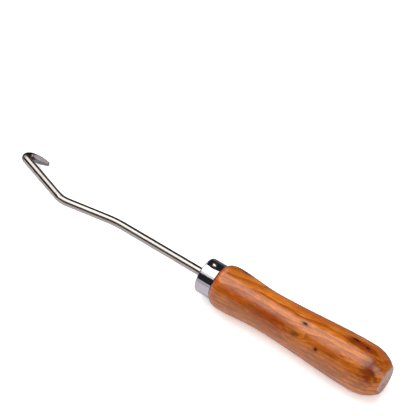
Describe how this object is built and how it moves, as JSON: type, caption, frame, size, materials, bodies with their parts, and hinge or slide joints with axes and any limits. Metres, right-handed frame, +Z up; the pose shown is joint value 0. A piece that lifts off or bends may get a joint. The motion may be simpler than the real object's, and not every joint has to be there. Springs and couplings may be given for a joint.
{
  "type": "hook",
  "caption": "Hand hook for pulling and knotting cord: a bent round steel rod with a folded, ground barb, set through a metal ferrule into a turned wooden handle.",
  "frame": {"origin": "middle of the bounding box's footprint, on the plane the tool lies on", "axes": "+X along the handle from the hook to the butt, +Y to the side the barb is on, +Z up"},
  "size_m": [0.2576, 0.0302, 0.0285],
  "materials": {
    "rod_steel": "bright nickel plated round bar",
    "ferrule_chrome": "polished chrome plate on drawn steel",
    "handle_wood": "clear gloss lacquer over reddish hardwood",
    "pin_steel": "peened and polished steel"
  },
  "bodies": {
    "root": {"hook_rod": "rod_steel", "ferrule": "ferrule_chrome", "handle": "handle_wood", "cross_pin": "pin_steel"}
  },
  "joints": []
}
